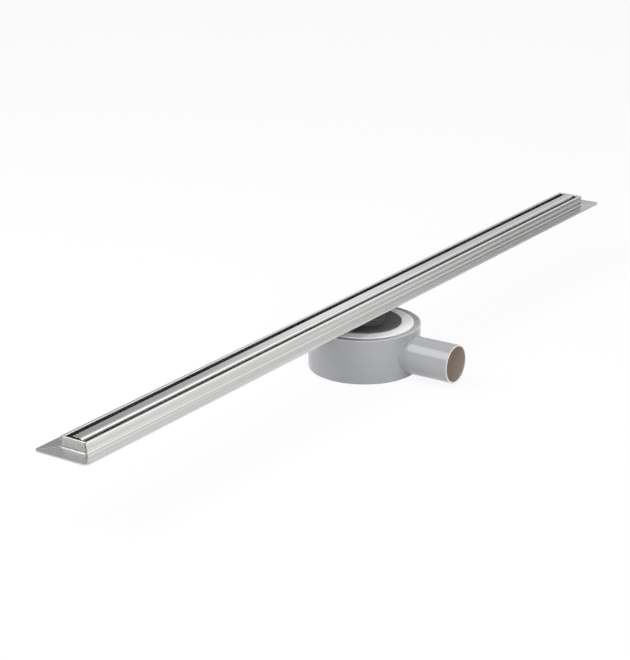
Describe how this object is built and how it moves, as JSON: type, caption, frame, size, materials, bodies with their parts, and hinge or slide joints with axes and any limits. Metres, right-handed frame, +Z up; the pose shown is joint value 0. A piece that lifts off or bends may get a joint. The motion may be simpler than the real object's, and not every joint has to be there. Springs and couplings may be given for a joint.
{
  "type": "linear shower channel drain",
  "caption": "Linear shower channel: folded stainless gutter with bonding flange and slotted cover strip, over a swivelling plastic water trap with a side spigot.",
  "frame": {"origin": "centre of the flat underside of the trap, on the axis of the channel's outlet, which the trap turns about", "axes": "+X along the channel, +Z up, and the waste spigot points to -Y"},
  "size_m": [1.2, 0.213, 0.0965],
  "materials": {
    "stainless": "brushed along the channel",
    "cover_steel": "fine brushed face with bright folded sides",
    "grey_plastic": "smooth moulded, slightly glossy",
    "white_plastic": "smooth moulded, satin",
    "dark_rubber": "matt moulded rubber",
    "siphon_plastic": "smooth moulded"
  },
  "bodies": {
    "trap": {"trap_pot": "grey_plastic", "trap_lid": "grey_plastic", "mouth_gasket": "dark_rubber", "lock_ring": "white_plastic", "rubber_collar": "dark_rubber", "dip_tube": "siphon_plastic", "siphon_cup": "siphon_plastic"},
    "channel": {"channel_trough": "stainless", "end_piece_left": "stainless", "end_piece_right": "stainless", "outlet_stub": "stainless", "hair_strainer": "stainless", "cover_plate": "cover_steel", "cover_support_1": "stainless", "cover_support_2": "stainless", "cover_support_3": "stainless", "cover_support_4": "stainless", "cover_support_5": "stainless", "cover_support_6": "stainless"}
  },
  "joints": [
    {"name": "trap_swivel", "type": "hinge", "parent": "trap", "child": "channel", "pos_m": [0, 0, 0.069], "axis": [0, 0, 1], "continuous": true}
  ]
}
